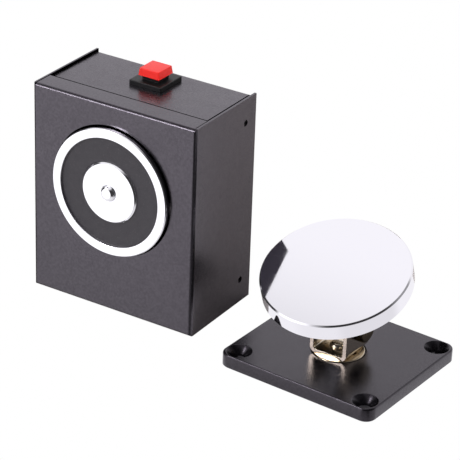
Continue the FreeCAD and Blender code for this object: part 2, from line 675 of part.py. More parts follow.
def make_button_blades():
    """Two solder blades with wire holes, out of the barrel's closed end."""
    blades = []
    for side in ("-", ""):
        body = new_body("button_blade_%d" % (len(blades) + 1))
        outline = new_sketch(body, "Outline", "XZ_Plane", "-blade_thick / 2")
        draw_rectangle(outline, "-blade_width / 2", "blade_width / 2", "-blade_length", "0")
        draw_circle(outline, "0", "blade_width / 2 - blade_length", "blade_eye")
        pad(body, "Blade", outline, "blade_thick")
        up = CHASSIS_TOP + " - barrel_length"
        blades.append(put_on_unit(body, BUTTON_BACK, up, "button_across + " + side + "blade_spacing / 2"))
    return blades


def way_across(way):
    return "way_pitch * %.1f" % (way - (WAYS - 1) / 2)


def make_terminal_block():
    """Moulded screw terminal block with a wire entry and a screw well for each way."""
    body = new_body("terminal_block")
    footprint = new_sketch(body, "Footprint", "XY_Plane")
    half = "way_pitch * %d / 2" % WAYS
    draw_rectangle(footprint, "-" + half, half, "0", "block_depth")
    pad(body, "Block", footprint, "block_height")
    entries = new_sketch(body, "Entries", "XZ_Plane")
    wells = new_sketch(body, "Wells", "XY_Plane", "block_height")
    for way in range(WAYS):
        draw_circle(entries, way_across(way), "way_height", "way_radius")
        draw_circle(wells, way_across(way), "block_depth / 2", "well_radius")
    cut(body, "WireEntries", entries)
    cut(body, "ScrewWells", wells, "well_depth")
    return put_on_unit(body, BLOCK_FRONT, "2 * sheet", BLOCK_ACROSS)


def make_terminal_screws():
    """One slotted clamp screw in each well."""
    screws = []
    for way in range(WAYS):
        body = new_body("terminal_screw_%d" % (way + 1))
        spin(body, "Screw", [
            ("0", "0"), ("clamp_screw_radius", "0"), ("clamp_screw_radius", "clamp_screw_length"),
            ("0", "clamp_screw_length")])
        slot = new_sketch(body, "SlotOutline", "XY_Plane", "clamp_screw_length")
        reach = "2 * clamp_screw_radius"
        draw_rectangle(slot, "-" + reach, reach, "-slot_width / 2", "slot_width / 2")
        cut(body, "Slot", slot, "slot_depth")
        up = "2 * sheet + block_height - well_depth"
        across = BLOCK_ACROSS + " + " + way_across(way)
        screws.append(put_on_unit(body, BLOCK_FRONT + " + block_depth / 2", up, across))
    return screws


def make_base_plate():
    """Thick steel plate with rounded corners, four countersunk holes and the swivel's recess."""
    body = new_body("base_plate")
    outline = new_sketch(body, "Outline", "XY_Plane")
    draw_rectangle(outline, "-plate_width / 2", "plate_width / 2", "-plate_depth / 2", "plate_depth / 2")
    pad(body, "Plate", outline, "plate_thick")
    dress(body, "Fillet", "Corners", upright, "plate_corner")
    flat = lambda edge: level(edge, "z", "0") or level(edge, "z", "plate_thick")
    dress(body, "Chamfer", "Edges", flat, "plate_chamfer")
    holes = new_sketch(body, "ScrewHoleCentres", "XY_Plane", "plate_thick")
    for across in ("-plate_spacing_x / 2", "plate_spacing_x / 2"):
        for back in ("-plate_spacing_y / 2", "plate_spacing_y / 2"):
            draw_circle(holes, across, back, "plate_hole_radius")
    cut(body, "ScrewHoles", holes)
    brim = lambda edge: level(edge, "z", "plate_thick") and hasattr(edge.Curve, "Radius") and (
        abs(edge.Curve.Radius - number("plate_hole_radius")) < 0.001)
    dress(body, "Chamfer", "Countersinks", brim, "plate_sink_radius - plate_hole_radius")
    recess = new_sketch(body, "RecessOutline", "XY_Plane", "plate_thick")
    draw_circle(recess, "0", "0", "recess_radius")
    cut(body, "Recess", recess, "recess_depth")
    foot = new_sketch(body, "RivetSeat", "XY_Plane")
    draw_circle(foot, "0", "0", "rivet_foot + rivet_foot_gap")
    cut(body, "Counterbore", foot, "rivet_foot_thick + rivet_foot_gap", up=True)
    pivot = new_sketch(body, "PivotHole", "XY_Plane", "plate_thick")
    draw_circle(pivot, "0", "0", "rivet_radius")
    cut(body, "Pivot", pivot)
    return put_on_keeper(body)


def make_swivel_rivet():
    """Rivet that holds the yoke down on the plate and lets it turn."""
    body = new_body("swivel_rivet")
    head = YOKE_FOOT + " + yoke_sheet + swivel_play"
    foot_top = "rivet_foot_gap + rivet_foot_thick"
    spin(body, "Rivet", [
        ("0", "rivet_foot_gap"), ("rivet_foot", "rivet_foot_gap"), ("rivet_foot", foot_top),
        ("rivet_radius", foot_top), ("rivet_radius", head), ("rivet_head", head),
        ("rivet_head", head + " + rivet_dome"), ("0", head + " + rivet_dome")])
    dress(body, "Fillet", "Dome", lambda edge: level(edge, "z", head + " + rivet_dome"), "rivet_dome * 0.9")
    return put_on_keeper(body)


def make_swivel_disc():
    """Nickel plated bearing disc that turns in the plate's recess under the yoke."""
    body = new_body("swivel_disc")
    bore = "rivet_radius + rivet_fit"
    low = RECESS_FLOOR + " + swivel_play"
    spin(body, "Disc", [(bore, low), ("swivel_radius", low), ("swivel_radius", YOKE_FOOT), (bore, YOKE_FOOT)])
    rim = lambda edge: level(edge, "z", YOKE_FOOT) and wide_ring(edge, "swivel_radius")
    dress(body, "Fillet", "Edges", rim, "swivel_edge")
    return put_on_swivel(body)


def make_swivel_yoke():
    """Thick sheet folded up into two ears that carry the hinge bolt."""
    body = new_body("swivel_yoke")
    half = "yoke_width / 2"
    floor = YOKE_FOOT + " + yoke_sheet"
    outline = new_sketch(body, "Channel", "XZ_Plane", "-yoke_back")
    draw_polygon(outline, [
        ("-" + half, YOKE_FOOT), (half, YOKE_FOOT), (half, YOKE_TOP), (EAR_INSIDE, YOKE_TOP),
        (EAR_INSIDE, floor), ("-" + EAR_INSIDE, floor), ("-" + EAR_INSIDE, YOKE_TOP), ("-" + half, YOKE_TOP)])
    pad(body, "Folded", outline, "yoke_front + yoke_back")
    outer = lambda edge: level(edge, "z", YOKE_FOOT) and (
        level(edge, "x", half) or level(edge, "x", "-" + half))
    dress(body, "Fillet", "OuterFolds", outer, "yoke_bend")
    inner = lambda edge: level(edge, "z", floor) and (
        level(edge, "x", EAR_INSIDE) or level(edge, "x", "-" + EAR_INSIDE))
    dress(body, "Fillet", "InnerFolds", inner, "yoke_bend - yoke_sheet")
    corner = lambda edge: level(edge, "z", YOKE_TOP) and (
        level(edge, "y", "yoke_back") or level(edge, "y", "-yoke_front"))
    dress(body, "Fillet", "EarCorners", corner, "ear_corner")
    hinge = new_sketch(body, "HingeHoles", "YZ_Plane", "yoke_width")
    draw_circle(hinge, "hinge_back", "hinge_height", "hinge_radius + hinge_fit")
    cut(body, "EarHoles", hinge)
    pivot = new_sketch(body, "PivotHole", "XY_Plane", YOKE_TOP)
    draw_circle(pivot, "0", "0", "rivet_radius + rivet_fit")
    cut(body, "Pivot", pivot)
    return put_on_swivel(body)


def make_hinge_bolt():
    """Round headed bolt across both ears; the stem turns on its shank."""
    body = new_body("hinge_bolt")
    end = "-yoke_width / 2 - hinge_nut_thick - hinge_tail"
    top = "yoke_width / 2 + hinge_head_thick"
    spin(body, "Bolt", [
        ("0", end), ("hinge_radius", end), ("hinge_radius", "yoke_width / 2"),
        ("hinge_head_radius", "yoke_width / 2"), ("hinge_head_radius", top), ("0", top)])
    dress(body, "Fillet", "HeadEdge", lambda edge: level(edge, "z", top), "hinge_head_edge")
    dress(body, "Chamfer", "Lead", lambda edge: level(edge, "z", end), "hinge_lead")
    return put_on_hinge(body, TO_RIGHT)


def make_hinge_nut():
    """Hexagon nut on the bolt's end, outside the far ear."""
    body = new_body("hinge_nut")
    outline = new_sketch(body, "Outline", "XY_Plane", "-yoke_width / 2")
    draw_hexagon(outline, "hinge_nut_flats")
    draw_circle(outline, "0", "0", "hinge_radius")
    pad(body, "Nut", outline, "hinge_nut_thick", down=True)
    return put_on_hinge(body, TO_RIGHT)


def make_hinge_washers():
    """A washer against the inside of each ear."""
    washers = []
    for low in ("-" + EAR_INSIDE, EAR_INSIDE + " - washer_thick"):
        body = new_body("hinge_washer_%d" % (len(washers) + 1))
        bore = "hinge_radius + hinge_fit"
        high = low + " + washer_thick"
        spin(body, "Washer", [(bore, low), ("washer_radius", low), ("washer_radius", high), (bore, high)])
        washers.append(put_on_hinge(body, TO_RIGHT))
    return washers


ARMATURE_LEAN = Rotation(Vector(1, 0, 0), number("lean_angle"))


def make_armature_stem():
    """Turned stem with a cross-bored eye at its foot, a flange and a threaded stud."""
    body = new_body("armature_stem")
    flange_back = "armature_reach - flange_thick"
    stud_end = "armature_reach + stud_length"
    spin(body, "Neck", [
        ("0", "0"), ("neck_radius", "0"), ("neck_radius", "neck_length"), ("taper_radius", flange_back),
        ("flange_radius", flange_back), ("flange_radius", "armature_reach"),
        ("stud_radius", "armature_reach"), ("stud_radius", stud_end), ("0", stud_end)])
    eye = new_sketch(body, "EyeOutline", "YZ_Plane", "-" + EYE_HALF)
    draw_circle(eye, "0", "0", "eye_radius")
    pad(body, "Eye", eye, "2 * " + EYE_HALF)
    bore = new_sketch(body, "BoreOutline", "YZ_Plane", "yoke_width")
    draw_circle(bore, "0", "0", "hinge_radius + hinge_fit")
    cut(body, "Bore", bore)
    return put_on_hinge(body, ARMATURE_LEAN)


def make_armature_disc():
    """Polished steel disc that the magnet holds, tapped behind for the stem."""
    body = new_body("armature_disc")
    face = "armature_reach + armature_thick"
    socket = "armature_reach + stud_length"
    spin(body, "Disc", [
        ("stud_radius", "armature_reach"), ("armature_radius", "armature_reach"), ("armature_radius", face),
        ("0", face), ("0", socket), ("stud_radius", socket)])
    dress(body, "Chamfer", "FrontEdge", lambda edge: level(edge, "z", face), "armature_chamfer")
    back = lambda edge: level(edge, "z", "armature_reach") and wide_ring(edge, "armature_radius")
    dress(body, "Chamfer", "BackEdge", back, "armature_back_chamfer")
    return put_on_hinge(body, ARMATURE_LEAN)


pieces = [make_front_cover(), make_chassis(), *make_cover_screws()]
pieces += [make_magnet_pot(), make_magnet_core(), make_coil_bobbin(), make_coil_winding()]
pieces += [make_potting_ring(), make_release_pin(), make_pin_bush(), make_pin_spring()]
pieces += [make_magnet_standoff(), make_magnet_bolt()]
pieces += [make_button_housing(), make_button_cap(), make_button_spring(), make_button_nut()]
pieces += [*make_button_blades(), make_terminal_block(), *make_terminal_screws()]
pieces += [make_base_plate(), make_swivel_rivet(), make_swivel_disc(), make_swivel_yoke()]
pieces += [make_hinge_bolt(), make_hinge_nut(), *make_hinge_washers()]
pieces += [make_armature_stem(), make_armature_disc()]
doc.recompute()

for item in doc.Objects:
    if "Invalid" in item.State or "Error" in item.State:
        raise RuntimeError("%s failed: %s" % (item.Label, item.State))
for piece in pieces:
    if piece.Shape.isNull() or not piece.Shape.isValid() or len(piece.Shape.Solids) != 1:
        raise RuntimeError(piece.Label + " is not one valid solid")
for piece in pieces:
    piece.Shape.exportStep("%s/%s.step" % (OUT_FOLDER, piece.Label))
whole = Part.makeCompound([piece.Shape for piece in pieces]).BoundBox
print("%d pieces, box %s" % (len(pieces), whole))
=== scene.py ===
import json
import math
import bmesh
import bpy
from mathutils import Matrix, Vector


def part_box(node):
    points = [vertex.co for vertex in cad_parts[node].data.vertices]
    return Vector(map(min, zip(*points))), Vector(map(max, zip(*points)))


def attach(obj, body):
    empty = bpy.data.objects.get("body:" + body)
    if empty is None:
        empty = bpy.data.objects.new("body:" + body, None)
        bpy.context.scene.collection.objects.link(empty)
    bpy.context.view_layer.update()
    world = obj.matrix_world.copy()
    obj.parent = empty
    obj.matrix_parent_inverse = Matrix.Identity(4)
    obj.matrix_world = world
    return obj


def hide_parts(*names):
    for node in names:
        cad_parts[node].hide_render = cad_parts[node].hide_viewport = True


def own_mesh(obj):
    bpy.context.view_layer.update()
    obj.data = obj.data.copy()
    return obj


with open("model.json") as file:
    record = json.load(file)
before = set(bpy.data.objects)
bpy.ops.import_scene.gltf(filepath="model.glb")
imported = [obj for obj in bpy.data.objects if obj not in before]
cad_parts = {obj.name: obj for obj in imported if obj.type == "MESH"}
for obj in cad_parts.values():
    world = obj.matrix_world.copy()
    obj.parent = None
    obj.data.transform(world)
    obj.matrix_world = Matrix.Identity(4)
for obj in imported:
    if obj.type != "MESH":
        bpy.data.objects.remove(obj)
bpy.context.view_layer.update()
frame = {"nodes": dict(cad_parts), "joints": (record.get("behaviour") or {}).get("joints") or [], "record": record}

# Camera. It stands to the right of the magnet unit and looks down on both halves with a long lens.
# Its place, its turn and its slight roll are those that best lay both halves over the photograph.
mm = 0.001
CAMERA_PLACE = Vector((504.69, -831.97, 553.29)) * mm
CAMERA_AZIMUTH = math.radians(31.41)
CAMERA_ELEVATION = math.radians(27.23)
CAMERA_ROLL = math.radians(2.02)
FOCAL_PIXELS = 2294.0
FRAME_PIXELS = 460
SENSOR_WIDTH = 36.0
NEAREST_SEEN = 0.05
FURTHEST_SEEN = 30


def put_in_scene(name, data):
    """Make an object of a camera, a light or a mesh, and put it in the scene."""
    thing = bpy.data.objects.new(name, data)
    bpy.context.collection.objects.link(thing)
    return thing


back = Vector((math.sin(CAMERA_AZIMUTH) * math.cos(CAMERA_ELEVATION),
               -math.cos(CAMERA_AZIMUTH) * math.cos(CAMERA_ELEVATION),
               math.sin(CAMERA_ELEVATION)))
level_right = Vector((math.cos(CAMERA_AZIMUTH), math.sin(CAMERA_AZIMUTH), 0))
level_up = back.cross(level_right)
right = level_right * math.cos(CAMERA_ROLL) + level_up * math.sin(CAMERA_ROLL)
up = back.cross(right)
lens = bpy.data.cameras.new("product_camera")
lens.sensor_width = SENSOR_WIDTH
lens.lens = FOCAL_PIXELS / FRAME_PIXELS * SENSOR_WIDTH
lens.clip_start = NEAREST_SEEN
lens.clip_end = FURTHEST_SEEN
camera = put_in_scene("product_camera", lens)
camera.matrix_world = Matrix.Translation(CAMERA_PLACE) @ Matrix((right, up, back)).transposed().to_4x4()
bpy.context.scene.camera = camera
bpy.context.scene.view_settings.view_transform = "Standard"

# Paper. White paper lies under the object, in two sheets that meet at the magnet unit's front. The
# camera sees both as plain white, and only the one behind shows in the polished faces.
PAPER = (0.66, 0.62, 0.60, 1)
PLAIN_WHITE = (1, 1, 1, 1)
PAPER_HALF = 4.0
PAPER_CLEARANCE = 0.5 * mm
SPLIT_SLOPE = 1.5


def link(graph, start, end):
    """Join one node's output to another's input."""
    graph.links.new(start, end)


def white_to_camera(graph, lit, white, out):
    """Show the camera plain white, and everything else the lit surface."""
    seen = graph.nodes.new("ShaderNodeLightPath")
    choice = graph.nodes.new("ShaderNodeMixShader")
    link(graph, seen.outputs["Is Camera Ray"], choice.inputs["Fac"])
    link(graph, lit, choice.inputs[1])
    link(graph, white, choice.inputs[2])
    link(graph, choice.outputs["Shader"], out.inputs["Surface"])


def flat_sheet(name, corners, height, look):
    """A flat sheet of the studio, level at one height."""
    mesh = bpy.data.meshes.new(name)
    mesh.from_pydata([(x, y, height) for x, y in corners], [], [tuple(range(len(corners)))])
    mesh.materials.append(look)
    sheet = put_in_scene(name, mesh)
    return sheet


white_paper = bpy.data.materials.new("white_paper")
white_paper.use_nodes = True
paper_graph = white_paper.node_tree
paper_graph.nodes.clear()
matt_paper = paper_graph.nodes.new("ShaderNodeBsdfDiffuse")
matt_paper.inputs["Color"].default_value = PAPER
clean_paper = paper_graph.nodes.new("ShaderNodeEmission")
clean_paper.inputs["Color"].default_value = PLAIN_WHITE
white_to_camera(paper_graph, matt_paper.outputs["BSDF"], clean_paper.outputs["Emission"],
                paper_graph.nodes.new("ShaderNodeOutputMaterial"))
cover_low, cover_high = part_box("front_cover")
split = (cover_high.x + PAPER_CLEARANCE, cover_low.y - PAPER_CLEARANCE)
split_left = (-PAPER_HALF, split[1])
split_rear = (split[0] + (PAPER_HALF - split[1]) / SPLIT_SLOPE, PAPER_HALF)
flat_sheet("paper_behind", [split_left, split, split_rear, (-PAPER_HALF, PAPER_HALF)], 0, white_paper)
paper_in_front = flat_sheet("paper_in_front", [
    (-PAPER_HALF, -PAPER_HALF), (PAPER_HALF, -PAPER_HALF), (PAPER_HALF, PAPER_HALF),
    split_rear, split, split_left], 0, white_paper)
paper_in_front.visible_glossy = False

# Room. It is bright behind and dark on the camera's side, so that folds and rims draw dark lines.
# Its fields of light and dark stand for a studio's lamps and cards, each laid over those before.
ROOM_WHITE = (1.0, 0.985, 1.02, 1)
ROOM_LEVEL = 0.92
ROOM_FIELDS = [
    # direction, full within these degrees of it, gone outside these, brightness
    ((0.75, 0.15, 0.64), 26, 42, 0.32),
    ((0.75, -0.60, -0.10), 48, 74, 0.04),
    ((0.12, -0.43, -0.89), 20, 42, 0.86),
    ((0.62, 0.10, -0.77), 24, 38, 0.78),
    ((-0.52, -0.85, -0.09), 6, 34, 1.55),
    ((-0.46, 0.76, 0.46), 12, 30, 1.12),
    ((-0.48, 0.32, 0.82), 12, 24, 0.97),
    ((-0.42, 0.0, 0.90), 8, 20, 0.12),
    ((-0.97, -0.20, 0.08), 18, 28, 0.05),
    ((-0.46, -0.69, 0.56), 7, 11, 14.0),
]

world = bpy.data.worlds.new("bright_room")
bpy.context.scene.world = world
world.use_nodes = True
room = world.node_tree
room.nodes.clear()
way = room.nodes.new("ShaderNodeTexCoord")
base = room.nodes.new("ShaderNodeValue")
base.outputs["Value"].default_value = ROOM_LEVEL
level = base.outputs["Value"]
for direction, full, gone, brightness in ROOM_FIELDS:
    toward = room.nodes.new("ShaderNodeVectorMath")
    toward.operation = "DOT_PRODUCT"
    toward.inputs[1].default_value = Vector(direction).normalized()
    shade = room.nodes.new("ShaderNodeMapRange")
    shade.interpolation_type = "SMOOTHSTEP"
    shade.inputs["From Min"].default_value = math.cos(math.radians(gone))
    shade.inputs["From Max"].default_value = math.cos(math.radians(full))
    lay_over = room.nodes.new("ShaderNodeMix")
    lay_over.data_type = "FLOAT"
    lay_over.inputs["B"].default_value = brightness
    link(room, way.outputs["Generated"], toward.inputs[0])
    link(room, toward.outputs["Value"], shade.inputs["Value"])
    link(room, shade.outputs["Result"], lay_over.inputs["Factor"])
    link(room, level, lay_over.inputs["A"])
    level = lay_over.outputs["Result"]
walls = room.nodes.new("ShaderNodeBackground")
walls.inputs["Color"].default_value = ROOM_WHITE
link(room, level, walls.inputs["Strength"])
clean_wall = room.nodes.new("ShaderNodeBackground")
clean_wall.inputs["Color"].default_value = PLAIN_WHITE
white_to_camera(room, walls.outputs["Background"], clean_wall.outputs["Background"],
                room.nodes.new("ShaderNodeOutputWorld"))

# Fill light. A soft square lamp high on the right, which lights the paper and the duller surfaces.
# The polished faces don't mirror it.
FILL_PLACE = Vector((0.75, -0.35, 0.45))
FILL_POWER = 4.5
FILL_SIZE = 0.6
fill = bpy.data.lights.new("fill_light", "AREA")
fill.size = FILL_SIZE
fill.energy = FILL_POWER
fill_light = put_in_scene("fill_light", fill)
fill_light.location = FILL_PLACE
fill_light.rotation_mode = "QUATERNION"
fill_light.rotation_quaternion = (-FILL_PLACE).to_track_quat("-Z", "Y")
fill_light.visible_glossy = False

# Black card. It hangs over the left rear, where only shiny faces see it, and the polished disc
# mirrors it as a dark patch along its left edge.
CARD_HEIGHT = 0.400
CARD_CORNERS = [(-0.157, 0.132), (-0.178, 0.148), (-0.208, 0.139), (-0.170, 0.064), (-0.156, 0.068)]
CARD_BLACK = (0.035, 0.032, 0.05, 1)
CARD_ROUGHNESS = 0.8


def new_look(name):
    """A material with its own shader; returns the material, its graph and the shader."""
    look = bpy.data.materials.new(name)
    look.use_nodes = True
    graph = look.node_tree
    return look, graph, graph.nodes["Principled BSDF"]


card_board, _, card_shader = new_look("card_board")
card_shader.inputs["Base Color"].default_value = CARD_BLACK
card_shader.inputs["Roughness"].default_value = CARD_ROUGHNESS
black_card = flat_sheet("black_card", CARD_CORNERS, CARD_HEIGHT, card_board)
black_card.visible_camera = False
black_card.visible_diffuse = False
black_card.visible_shadow = False

# Front cover. Steel sheet, punched for the magnet, folded into a front, two sides and narrow lips,
# then powder coated in satin black; it slides over the chassis and four grub screws hold it.
PAINT_BLACK = (0.0020, 0.0018, 0.0024, 1)
PAINT_BLACK_LIGHT = (0.0050, 0.0045, 0.0055, 1)
PAINT_SHEEN = (0.95, 0.87, 1.0, 1)
PAINT_SPECKLE = 0.5 * mm
PAINT_SPECKLE_DEPTH = 0.035 * mm
PAINT_FLECK = 1.0 * mm
PAINT_CLOUD = 6 * mm
DULL_FLECK = 0.26
COVER_ROUGHNESS = (0.20, 0.26)
COVER_GLOSS = 1.18
COVER_EDGE = 0.45 * mm
SHEET = 1.2 * mm
# Reach of the painted shade bands in the seams, to either side of their middle.
SEAM_SHADE_REACH = 0.3 * mm
SAME_POINT = 0.0005 * mm
FLAT_WITHIN = math.radians(0.4)
SHARP_OVER = math.radians(32)
EDGE_SEGMENTS = 3


def grain(graph, size, detail=4.0):
    """Fine noise in the object's own space, whose lumps are about this size."""
    where = graph.nodes.new("ShaderNodeTexCoord")
    noise = graph.nodes.new("ShaderNodeTexNoise")
    noise.inputs["Scale"].default_value = 1 / size
    noise.inputs["Detail"].default_value = detail
    link(graph, where.outputs["Object"], noise.inputs["Vector"])
    return noise.outputs["Fac"]


def blend_colour(graph, factor, low, high, target, start=0.35, end=0.65):
    """Drive a colour socket from one tone to another as a noise goes from start to end."""
    ramp = graph.nodes.new("ShaderNodeValToRGB")
    ramp.color_ramp.elements[0].position = start
    ramp.color_ramp.elements[0].color = low
    ramp.color_ramp.elements[1].position = end
    ramp.color_ramp.elements[1].color = high
    link(graph, factor, ramp.inputs["Fac"])
    link(graph, ramp.outputs["Color"], target)


def spread(graph, factor, low, high, start=0.3, end=0.7):
    """A number that goes from low to high as a noise goes from start to end."""
    scale = graph.nodes.new("ShaderNodeMapRange")
    scale.inputs["From Min"].default_value = start
    scale.inputs["From Max"].default_value = end
    scale.inputs["To Min"].default_value = low
    scale.inputs["To Max"].default_value = high
    link(graph, factor, scale.inputs["Value"])
    return scale.outputs["Result"]


def emboss(graph, height, depth, shader):
    """Turn a height pattern into bumps of a real depth."""
    bump = graph.nodes.new("ShaderNodeBump")
    bump.inputs["Strength"].default_value = 1.0
    bump.inputs["Distance"].default_value = depth
    link(graph, height, bump.inputs["Height"])
    link(graph, bump.outputs["Normal"], shader.inputs["Normal"])


def reckon(graph, operation, *numbers):
    """A sum on numbers, each of them fixed or the output of another node."""
    working = graph.nodes.new("ShaderNodeMath")
    working.operation = operation
    for place, number in enumerate(numbers):
        if isinstance(number, bpy.types.NodeSocket):
            link(graph, number, working.inputs[place])
        else:
            working.inputs[place].default_value = number
    return working.outputs["Value"]


def band(graph, axis, middle, low, high):
    """1 where the distance from a middle plane, to either side, lies between low and high, else 0."""
    where = graph.nodes.new("ShaderNodeTexCoord")
    parts = graph.nodes.new("ShaderNodeSeparateXYZ")
    link(graph, where.outputs["Object"], parts.inputs["Vector"])
    away = reckon(graph, "ABSOLUTE", reckon(graph, "SUBTRACT", parts.outputs[axis], middle))
    return reckon(graph, "COMPARE", away, (low + high) / 2, (high - low) / 2)


def satin_paint(name, roughness, gloss, shaded_seams=()):
    """Powder coat: almost no colour of its own, so what shows is the sheen of the room on it. Dull
    flecks, made as black metal, lie in it. Painted shade makes it black, fully rough metal in each
    shaded seam, which is a list of bands (axis, middle, low, high) that overlap there."""
    look, graph, shader = new_look(name)
    shader.inputs["Specular IOR Level"].default_value = gloss
    shader.inputs["Specular Tint"].default_value = PAINT_SHEEN
    speckle = grain(graph, PAINT_SPECKLE)
    fleck_and_shade = spread(graph, grain(graph, PAINT_FLECK, 2.0), 0, DULL_FLECK)
    rough = spread(graph, grain(graph, PAINT_CLOUD, 2.0), *roughness)
    # Painted shade: in each seam the paint becomes black, fully rough metal, so the seam reads as a dark line.
    for bands in shaded_seams:
        shade_mask = band(graph, *bands[0])
        for other in bands[1:]:
            shade_mask = reckon(graph, "MULTIPLY", shade_mask, band(graph, *other))
        fleck_and_shade = reckon(graph, "MAXIMUM", shade_mask, fleck_and_shade)
        rough = reckon(graph, "MAXIMUM", shade_mask, rough)
    link(graph, fleck_and_shade, shader.inputs["Metallic"])
    link(graph, rough, shader.inputs["Roughness"])
    blend_colour(graph, speckle, PAINT_BLACK, PAINT_BLACK_LIGHT, shader.inputs["Base Color"])
    emboss(graph, speckle, PAINT_SPECKLE_DEPTH, shader)
    return look


def made_mesh(shape, name, *looks):
    """The mesh of a worked shape, with its materials."""
    mesh = bpy.data.meshes.new(name)
    shape.to_mesh(mesh)
    shape.free()
    for look in looks:
        mesh.materials.append(look)
    return mesh


def finish_piece(mesh, name, edge, node, place=None):
    """Put a mesh in the scene in a node's stead, smooth but for its rounded edges."""
    piece = put_in_scene(name, mesh)
    if place is not None:
        piece.matrix_world = place
    mesh.polygons.foreach_set("use_smooth", [True] * len(mesh.polygons))
    if edge:
        bevel = piece.modifiers.new("edges", "BEVEL")
        bevel.width = edge
        bevel.segments = EDGE_SEGMENTS
        bevel.limit_method = "ANGLE"
        bevel.angle_limit = SHARP_OVER
        bevel.harden_normals = True
    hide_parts(node)
    bodies = frame["record"]["behaviour"]["bodies"]
    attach(piece, next(body for body, nodes in bodies.items() if node in nodes))
    return piece


def edged_copy(node, name, edge, look):
    """The node's own outline as clean flat faces, with every sharp edge slightly rounded."""
    shape = bmesh.new()
    shape.from_mesh(frame["nodes"][node].data)
    bmesh.ops.remove_doubles(shape, verts=shape.verts, dist=SAME_POINT)
    bmesh.ops.dissolve_limit(shape, angle_limit=FLAT_WITHIN, verts=shape.verts, edges=shape.edges)
    mesh = made_mesh(shape, name, look)
    if "custom_normal" in mesh.attributes:
        mesh.attributes.remove(mesh.attributes["custom_normal"])
    return finish_piece(mesh, name, edge, node)


# Painted shade: a thin band at the inside face of the left side is painted dark, so the seam with the chassis
# shelf shows as a dark line.
left_seam_shade = [("X", cover_low.x + SHEET, 0, SEAM_SHADE_REACH)]
cover_paint = satin_paint("cover_paint", COVER_ROUGHNESS, COVER_GLOSS, [left_seam_shade])
edged_copy("front_cover", "cover_shell", COVER_EDGE, cover_paint)

# Chassis. A second folded sheet inside the cover, in the same paint: back plate, top and bottom
# shelves and side tabs; the top shelf shows behind the cover's lip and carries the button.
CHASSIS_ROUGHNESS = (0.22, 0.30)
CHASSIS_GLOSS = 1.2
CHASSIS_EDGE = 0.12 * mm
LIP = 12 * mm
# Painted shade on the shelf top: dark bands behind the cover's lip, beside the right side and along the left side,
# where the steps throw shade into the seams.
LIP_SEAM_SHADE = (1.9 * mm, 2.9 * mm)
RIGHT_SEAM_SHADE = (1.1 * mm, 2.2 * mm)
shade_on_shelf = ("Z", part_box("chassis")[1].z, 0, SEAM_SHADE_REACH)
lip_seam_shade = [("Y", cover_low.y + LIP, *LIP_SEAM_SHADE), shade_on_shelf]
right_seam_shade = [("X", cover_high.x - SHEET, *RIGHT_SEAM_SHADE), shade_on_shelf]
chassis_paint = satin_paint("chassis_paint", CHASSIS_ROUGHNESS, CHASSIS_GLOSS,
                            [left_seam_shade, lip_seam_shade, right_seam_shade])
edged_copy("chassis", "chassis_shell", CHASSIS_EDGE, chassis_paint)

# Magnet pot and core. Turned from soft iron and bright plated; the cup's rim and the core's end
# are the two pole faces, faced off on the lathe, with bare shine and very fine turning rings.
PLATING = (0.93, 0.93, 0.95, 1)
PLATING_CLOUD = 5 * mm
POLE_ROUGHNESS = (0.10, 0.16)
POLE_RING_PITCH = 0.35 * mm
POLE_RING_DEPTH = 0.0006 * mm
POT_EDGE = 0.5 * mm
POT_BORE_EDGE = 0.2 * mm
POT_ROUNDING = 0.12 * mm
CORE_EDGE = 0.8 * mm
CORE_ROUNDING = 0.15 * mm
BOLT_HOLE = 3.3 * mm
LATHE_STEPS = 256


def radius_and_length(node):
    """The size of a round node that lies along the magnet's axis."""
    low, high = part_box(node)
    return (high.x - low.x) / 2, high.y - low.y


def on_magnet_axis(y):
    """Local +Z points to the front, from a place along the magnet's axis."""
    return Matrix.Translation((pot_middle.x, y, pot_middle.z)) @ Matrix.Rotation(math.radians(90), 4, "X")


def turned(name, outline, look, edge, node, place, closed=True):
    """A lathe-turned piece from corners of (radius, height). An outline that isn't closed starts and
    ends on the axis."""
    shape = bmesh.new()
    corners = [shape.verts.new((radius, 0, height)) for radius, height in outline]
    pairs = list(zip(corners, corners[1:] + corners[:1]))
    edges = [shape.edges.new(pair) for pair in (pairs if closed else pairs[:-1])]
    bmesh.ops.spin(shape, geom=corners + edges, cent=(0, 0, 0), axis=(0, 0, 1), angle=math.tau,
                   steps=LATHE_STEPS, use_merge=True)
    bmesh.ops.remove_doubles(shape, verts=shape.verts, dist=SAME_POINT)
    bmesh.ops.recalc_face_normals(shape, faces=shape.faces)
    return finish_piece(made_mesh(shape, name, look), name, edge, node, place)


def turning_rings(graph, pitch):
    """Height pattern of concentric lathe marks about local Z."""
    where = graph.nodes.new("ShaderNodeTexCoord")
    parts = graph.nodes.new("ShaderNodeSeparateXYZ")
    flat = graph.nodes.new("ShaderNodeCombineXYZ")
    reach = graph.nodes.new("ShaderNodeVectorMath")
    reach.operation = "LENGTH"
    noise = graph.nodes.new("ShaderNodeTexNoise")
    noise.noise_dimensions = "1D"
    noise.inputs["Scale"].default_value = 1 / pitch
    noise.inputs["Detail"].default_value = 2.0
    link(graph, where.outputs["Object"], parts.inputs["Vector"])
    link(graph, parts.outputs["X"], flat.inputs["X"])
    link(graph, parts.outputs["Y"], flat.inputs["Y"])
    link(graph, flat.outputs["Vector"], reach.inputs[0])
    link(graph, reach.outputs["Value"], noise.inputs["W"])
    return noise.outputs["Fac"]


def plated(name, colour, roughness, ring_pitch=None, ring_depth=None):
    """Bright plating over turned metal, cloudy to a very slight degree."""
    look, graph, shader = new_look(name)
    shader.inputs["Base Color"].default_value = colour
    shader.inputs["Metallic"].default_value = 1.0
    link(graph, spread(graph, grain(graph, PLATING_CLOUD, 3.0), *roughness), shader.inputs["Roughness"])
    if ring_pitch:
        emboss(graph, turning_rings(graph, ring_pitch), ring_depth, shader)
    return look


